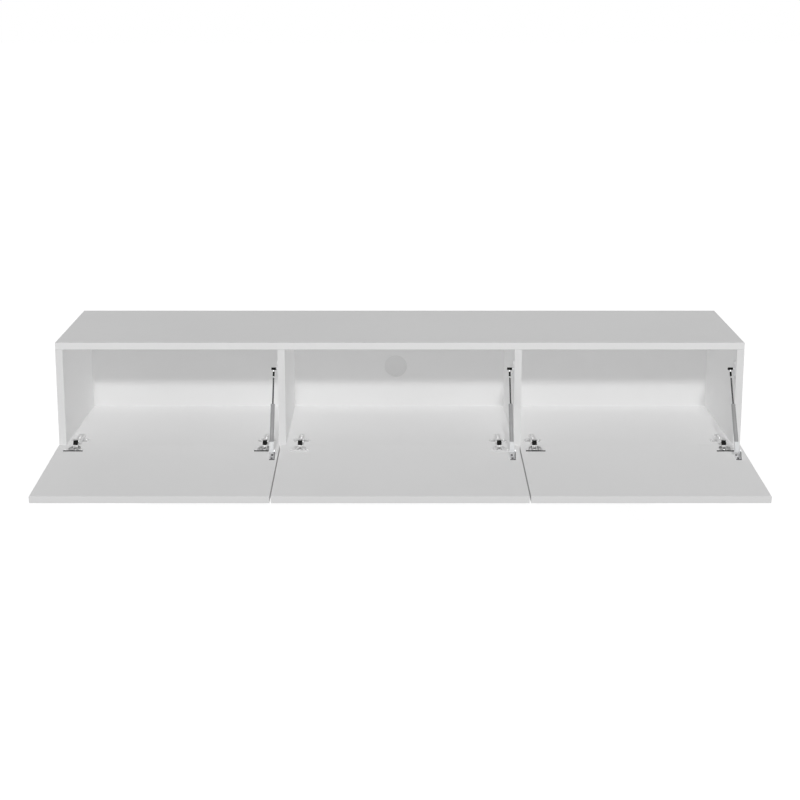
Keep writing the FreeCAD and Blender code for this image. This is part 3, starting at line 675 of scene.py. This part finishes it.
bpy.ops.object.select_all(action="DESELECT")
bpy.ops.mesh.primitive_cylinder_add(vertices=24, radius=SCREW_RADIUS * MM, depth=SCREW_HEIGHT * MM,
                                    location=(0, 0, SCREW_HEIGHT / 2 * MM))
bpy.ops.object.transform_apply(location=True, rotation=False, scale=False)
screw = open_primitive("cross_screw")
pick_edges(screw, lambda a, b: min(a.z, b.z) > SCREW_HEIGHT - 0.01)
bpy.ops.mesh.bevel(offset=1.1 * MM, segments=3, profile=0.6)
close_piece(screw, 50)
recess = screw.modifiers.new("recess", "BOOLEAN")
recess.object = cross
recess.operation = "DIFFERENCE"
bpy.ops.object.modifier_apply(modifier=recess.name)
put_away(cross)
print("screw head faces:", len(screw.data.polygons))

# %% [markdown]
# ### Where the screws go
# Two hold each hinge plate to the floor of the bay, two each pair of cup wings to the door, two
# each strut bracket to its wall or door, and two adjust each hanger. The head is modelled once and
# copied, each copy with a mesh of its own. No two screws stop at the same angle, so each copy is
# turned by its own amount.

# %% Copies, and copies of the screw
def copy_to(model, name, matrix, body, finish):
    """Copy a model, mesh and all, to a place on a moving body, with its finish."""
    piece = model.copy()
    piece.data = model.data.copy()
    piece.name = piece.data.name = name
    bpy.context.scene.collection.objects.link(piece)
    piece.data.transform(matrix)
    piece.data.materials.clear()
    piece.data.materials.append(finish)
    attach(piece, body)
    return piece


def screw_at(name, point, outward, body, radius, finish, carry=Matrix.Identity(4)):
    """One screw of a given head radius, turned by an amount that follows from its place."""
    turn = (point[0] * 0.37 + point[2] * 0.53) % (math.pi / 2)
    size = Matrix.Diagonal((radius / SCREW_RADIUS,) * 3 + (1,))
    copy_to(screw, name, carry @ facing(point, outward, turn) @ size, body, finish)

# %% Screws of the hinges
PLATE_TOP = -217.0
PLATE_LINE = -292.0
PLATE_SCREW_OUT = 16.0        # from the middle of the hinge
PLATE_HEAD = 3.4              # radius
WING_FACE = -330.8            # of a closed door
WING_LINE = -205.0
WING_SCREW_OUT = 21.0
WING_HEAD = 2.7
for bay, hinge, x in each_hinge():
    for end, side in SIDES:
        screw_at(f"plate_screw_{bay}_{hinge}_{end}",
                 (x + side * PLATE_SCREW_OUT, PLATE_LINE, PLATE_TOP), (0, 0, 1),
                 "cabinet", PLATE_HEAD, hinge_steel)
        screw_at(f"wing_screw_{bay}_{hinge}_{end}",
                 (x + side * WING_SCREW_OUT, WING_FACE, WING_LINE), (0, 1, 0),
                 "door_" + bay, WING_HEAD, hinge_steel, DOOR_OPEN)

# %% Screws of the strut brackets and hangers
WALL_BRACKET = (-313.0, -13.5)          # its middle, and how far its screws are above and below
WALL_BRACKET_SCREW = 14.5
WALL_BRACKET_SHEET = 2.0
WALL_BRACKET_HEAD = 3.1                 # radius
FOOT_FACE = -330.0                      # the door bracket's foot, on a closed door
FOOT_LINE = 10.5
FOOT_MIDDLE = -160.0
FOOT_SCREW = 9.5
FOOT_HEAD = 2.9
HANGER_FACE = -55.0
HANGER_SCREWS = (("lower", -10.0), ("upper", 21.0))
HANGER_HEAD = 4.2
for bay, wall in BAYS.items():
    for end, side in (("lower", -1), ("upper", 1)):
        y, z = WALL_BRACKET
        screw_at(f"wall_bracket_screw_{bay}_{end}",
                 (wall - WALL_BRACKET_SHEET, y, z + side * WALL_BRACKET_SCREW), (-1, 0, 0),
                 "cabinet", WALL_BRACKET_HEAD, zinc)
        screw_at(f"door_bracket_screw_{bay}_{end}",
                 (wall - FOOT_LINE, FOOT_FACE, FOOT_MIDDLE + side * FOOT_SCREW), (0, 1, 0),
                 "door_" + bay, FOOT_HEAD, rod_steel, DOOR_OPEN)
for name, x in HANGERS.items():
    for end, z in HANGER_SCREWS:
        screw_at(f"hanger_screw_{name}_{end}", (x, HANGER_FACE, z), (0, -1, 0),
                 "cabinet", HANGER_HEAD, zinc)

# %% [markdown]
# ## Hinge details
# A slide plate lies on the top of each hinge arm, with the two screws that set the door's height
# and side. It could be drawn with a bump, but its edge is seen from the side. It is a flat cube
# whose upright edges are beveled until the ends are round.

# %% Slide plates and their screws
SLIDE_LENGTH = 25.0
SLIDE_WIDTH = 9.6
SLIDE_SHEET = 0.7
ARM_TOP = -209.0
SLIDE_MIDDLE = -292.0
ARM_SCREWS = (("rear", -286.0), ("front", -298.0))
ARM_HEAD = 3.4                # radius

bpy.ops.object.select_all(action="DESELECT")
bpy.ops.mesh.primitive_cube_add(size=MM)
slide = open_primitive("arm_slide")
bpy.ops.mesh.select_all(action="SELECT")
bpy.ops.transform.resize(value=(SLIDE_WIDTH, SLIDE_LENGTH, SLIDE_SHEET))
bpy.ops.transform.translate(value=(0, 0, SLIDE_SHEET / 2 * MM))
pick_edges(slide, lambda a, b: abs(a.z - b.z) > SLIDE_SHEET / 2)
bpy.ops.mesh.bevel(offset=4.7 * MM, segments=6)
pick_edges(slide, lambda a, b: min(a.z, b.z) > SLIDE_SHEET - 0.01)
bpy.ops.mesh.bevel(offset=0.25 * MM, segments=2)
close_piece(slide)
for bay, hinge, x in each_hinge():
    copy_to(slide, f"arm_slide_{bay}_{hinge}", facing((x, SLIDE_MIDDLE, ARM_TOP), (0, 0, 1)),
            "cabinet", hinge_steel)
    for end, y in ARM_SCREWS:
        screw_at(f"arm_screw_{bay}_{hinge}_{end}", (x, y, ARM_TOP + SLIDE_SHEET), (0, 0, 1),
                 "cabinet", ARM_HEAD, hinge_steel)
put_away(slide)
put_away(screw)
print("arm slides: 6")

# %% [markdown]
# ### Rivet heads
# Both pins of a hinge arm end in a low rivet head on each side. A rivet head is round, and so are
# the tubes, rings and washers further on, but a cylinder has straight sides only. On a lathe any
# profile can be turned: a point is extruded along it, and the line is spun round the axis. Where
# the shape is closed, the line ends on the axis.

# %% A lathe
def turned_piece(name, profile, steps=32):
    """Lathe: a point is extruded along a profile of (radius, height), then spun round the axis."""
    bpy.ops.object.select_all(action="DESELECT")
    bpy.ops.mesh.primitive_plane_add(size=MM)
    piece = open_primitive(name)
    bpy.ops.mesh.select_mode(type="VERT")
    bpy.ops.mesh.select_all(action="SELECT")
    bpy.ops.mesh.merge(type="CENTER")
    bpy.ops.transform.translate(value=(profile[0][0] * MM, 0, profile[0][1] * MM))
    for (r0, z0), (r1, z1) in zip(profile, profile[1:]):
        bpy.ops.mesh.extrude_region_move(
            TRANSFORM_OT_translate={"value": ((r1 - r0) * MM, 0, (z1 - z0) * MM)})
    bpy.ops.mesh.select_all(action="SELECT")
    bpy.ops.mesh.spin(steps=steps, angle=2 * math.pi, center=(0, 0, 0), axis=(0, 0, 1))
    bpy.ops.mesh.select_all(action="SELECT")
    bpy.ops.mesh.remove_doubles(threshold=0.01 * MM)
    bpy.ops.mesh.normals_make_consistent(inside=False)
    return close_piece(piece)

# %% Rivet heads of the hinge pins
PINS = (("inner", -335.438, -207.082), ("outer", -340.956, -203.329))
ARM_HALF = 7.4                # outer face of the arm, from the middle of the hinge
rivet = turned_piece("pin_rivet", ((0, -0.2), (1.7, -0.2), (1.7, 0.15), (1.45, 0.4), (0.9, 0.58),
                                   (0, 0.65)), 14)
for bay, hinge, x in each_hinge():
    for pin, y, z in PINS:
        for end, side in SIDES:
            copy_to(rivet, f"{pin}_pin_{bay}_{hinge}_{end}",
                    facing((x + side * ARM_HALF, y, z), (side, 0, 0)),
                    "cabinet", hinge_steel)
put_away(rivet)

# %% [markdown]
# ### Painted lines on the cup flanges
# Each hinge cup has a flange with a long straight edge towards the front. A low strip stands on
# that edge and carries a painted line: painted shadow on the hinges of the left and right doors, a
# painted highlight on the middle door's hinges. The strip is a thin bar, rounded along its top.

# %% Flange lips
DOOR_FACE = -332.0            # inner face of a closed door
FLANGE_END = -196.8           # of a closed door
LIP_SPAN = 50.8
LIP_HEIGHT = 2.8
LIP_SHEET = 0.5

bpy.ops.object.select_all(action="DESELECT")
bpy.ops.mesh.primitive_cube_add(size=MM)
lip = open_primitive("painted_flange_line")
bpy.ops.mesh.select_all(action="SELECT")
bpy.ops.transform.resize(value=(LIP_SPAN, LIP_SHEET, LIP_HEIGHT))
bpy.ops.transform.translate(value=(0, 0, LIP_HEIGHT / 2 * MM))
pick_edges(lip, lambda a, b: min(a.z, b.z) > LIP_HEIGHT - 0.01)
bpy.ops.mesh.bevel(offset=0.24 * MM, segments=3)
close_piece(lip)
# Painted shadow and highlight: each strip is near black, or light grey on the middle door.
for bay, hinge, x in each_hinge():
    copy_to(lip, f"painted_flange_line_{bay}_{hinge}",
            DOOR_OPEN @ facing((x, DOOR_FACE, FLANGE_END + LIP_SHEET / 2), (0, 1, 0)),
            "door_" + bay, lip_painted_light if bay == "middle" else lip_painted_shadow)
put_away(lip)
print("flange lips: 6")

# %% [markdown]
# ## Struts
# Each strut is a painted tube that the dark rod slides in. The engineering model has the tube as a
# plain bar. The real one is closed round at the bottom and rolled in at the top over a guide ring.
# A profile spun on the lathe gives both, with the bore left open for the rod.

# %% Painted tubes
TUBE = 5.35                   # radius
TUBE_BOTTOM = 24.0            # above the lower pivot, along the strut
TUBE_TOP = 122.0
BORE = 2.2                    # radius

tube = turned_piece("painted_tube", (
    (0, TUBE_BOTTOM), (3.9, TUBE_BOTTOM), (4.9, TUBE_BOTTOM + 0.4), (TUBE, TUBE_BOTTOM + 1.4),
    (TUBE, TUBE_TOP - 8.2), (4.95, TUBE_TOP - 7.6), (4.95, TUBE_TOP - 6.8), (TUBE, TUBE_TOP - 6.2),
    (TUBE, TUBE_TOP - 1.2), (5.0, TUBE_TOP - 0.4), (4.3, TUBE_TOP), (BORE, TUBE_TOP),
    (BORE, TUBE_TOP - 12), (0, TUBE_TOP - 12)), 40)
guide = turned_piece("guide_ring", (
    (2.1, TUBE_TOP - 1), (3.9, TUBE_TOP - 1), (3.9, TUBE_TOP + 0.3), (3.5, TUBE_TOP + 0.6),
    (2.1, TUBE_TOP + 0.6), (2.1, TUBE_TOP - 1)), 32)
for bay in BAYS:
    painted = copy_to(tube, "painted_tube_" + bay, along_strut(bay), "strut_tube_" + bay,
                      tube_paint)
    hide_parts("strut_tube_" + bay)
    copy_to(guide, "guide_ring_" + bay, along_strut(bay), "strut_tube_" + bay,
            black_plastic)
put_away(tube)
put_away(guide)
print("tubes:", len(BAYS))

# %% [markdown]
# ### The upper end
# The rod ends in a black socket with a cross bar that clips onto the stud on the wall. A bright
# spring clip goes round the socket's neck, and a bright nut locks the neck on the rod.

# %% Necks of the sockets
socket_end = strut_length / MM          # above the lower pivot, along the strut

neck = turned_piece("socket_neck", (
    (2.1, socket_end - 21), (2.3, socket_end - 21), (2.5, socket_end - 20.6),
    (2.5, socket_end - 9.0), (2.2, socket_end - 8.4), (2.2, socket_end - 4.0),
    (2.8, socket_end - 3.2), (2.8, socket_end), (0, socket_end), (0, socket_end - 13),
    (2.1, socket_end - 13), (2.1, socket_end - 21)), 28)
for bay in BAYS:
    socket = copy_to(neck, "socket_neck_" + bay, along_strut(bay), "strut_rod_" + bay,
                     black_plastic)
    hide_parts("strut_socket_" + bay)
put_away(neck)
print("socket necks:", len(BAYS))

# %% Cross bars of the sockets
BAR_LENGTH = 13.0
BAR = 6.0
eye = (0, 0, strut_length)              # the upper pivot, on the strut's own axis

bpy.ops.object.select_all(action="DESELECT")
bpy.ops.mesh.primitive_cube_add(size=MM, location=eye)
bpy.ops.object.transform_apply(location=True, rotation=False, scale=False)
cross_bar = open_primitive("socket_bar")
bpy.ops.mesh.select_all(action="SELECT")
bpy.ops.transform.resize(value=(BAR_LENGTH, BAR, BAR), center_override=eye)
bpy.ops.mesh.bevel(offset=0.8 * MM, segments=3)
pick_faces(cross_bar, lambda middle, normal: abs(normal.x) > 0.95)
bpy.ops.mesh.inset(thickness=0.7 * MM)
bpy.ops.mesh.extrude_region_move()
bpy.ops.transform.resize(value=(0.92, 1, 1), center_override=eye)
close_piece(cross_bar)
for bay in BAYS:
    copy_to(cross_bar, "socket_bar_" + bay, along_strut(bay), "strut_rod_" + bay,
            black_plastic)
put_away(cross_bar)
print("cross bars:", len(BAYS))

# %% Spring clips and lock nuts
CLIP_DROP = 8.0               # below the strut's upper end
NUT_DROP = 23.2

clip = turned_piece("spring_clip", ((2.25, 0), (3.0, 0), (3.0, 3.8), (2.25, 3.8), (2.25, 0)), 28)
nut = turned_piece("lock_nut", ((2.02, 0), (2.8, 0), (3.0, 0.3), (3.0, 1.9), (2.8, 2.2),
                                (2.02, 2.2), (2.02, 0)), 6)
for bay in BAYS:
    copy_to(clip, "spring_clip_" + bay, along_strut(bay, socket_end - CLIP_DROP),
            "strut_rod_" + bay, hinge_steel)
    copy_to(nut, "lock_nut_" + bay, along_strut(bay, socket_end - NUT_DROP),
            "strut_rod_" + bay, hinge_steel)
put_away(clip)
put_away(nut)
print("clips and nuts:", 2 * len(BAYS))

# %% [markdown]
# ### The lower end
# The pale fitting turns on a stud of the door's bracket, and a push-on washer keeps it there.

# %% Washers on the lower studs
FITTING_HALF = 5.5            # half the width of the pale fitting

washer = turned_piece("stud_washer", ((0, 1.5), (1.9, 1.5), (2.4, 1.1), (2.4, 0.7), (4.0, 0.6),
                                      (4.2, 0.3), (4.2, 0), (0, 0)), 24)
for bay, wall in BAYS.items():
    stud_end = (wall - STRUT_FROM_WALL - FITTING_HALF, LOWER_PIVOT.y / MM, LOWER_PIVOT.z / MM)
    copy_to(washer, "stud_washer_" + bay, facing(stud_end, (-1, 0, 0)), "door_" + bay,
            zinc)
put_away(washer)
print("washers:", len(BAYS))

# %% [markdown]
# ## The cable port
# A round plastic grommet lines the hole in the back panel, and a lid closes it. Both are turned
# profiles with a soft lip, which is what catches the light on such a flat white thing.

# %% Port ring and lid
PORT = (-10.0, -9.0, -100.5)  # middle of the port, on the back panel's front face

ring = turned_piece("port_ring", (
    (27.0, 1.5), (27.5, 1.5), (31.2, 1.3), (31.8, 0.9), (32.0, 0.3), (32.0, 0),
    (28.8, 0), (28.8, -6.0), (25.0, -6.0), (25.0, -0.5), (27.0, -0.5), (27.0, 1.5)), 96)
lid = turned_piece("port_lid", (
    (0, 1.45), (25.6, 1.45), (26.3, 1.25), (26.7, 0.8), (26.7, -0.5), (0, -0.5)), 96)
for model, node, body in ((ring, "cable_port_ring", "cabinet"),
                          (lid, "cable_port_lid", "port_lid")):
    piece = copy_to(model, "moulded_" + node, facing(PORT, (0, -1, 0)), body,
                    white_plastic)
    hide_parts(node)
    put_away(model)
print("port pieces: 2")

# %% [markdown]
# ## Sizes
# The view layer is brought up to date, now that every piece is in place.

# %% Sizes
bpy.context.view_layer.update()
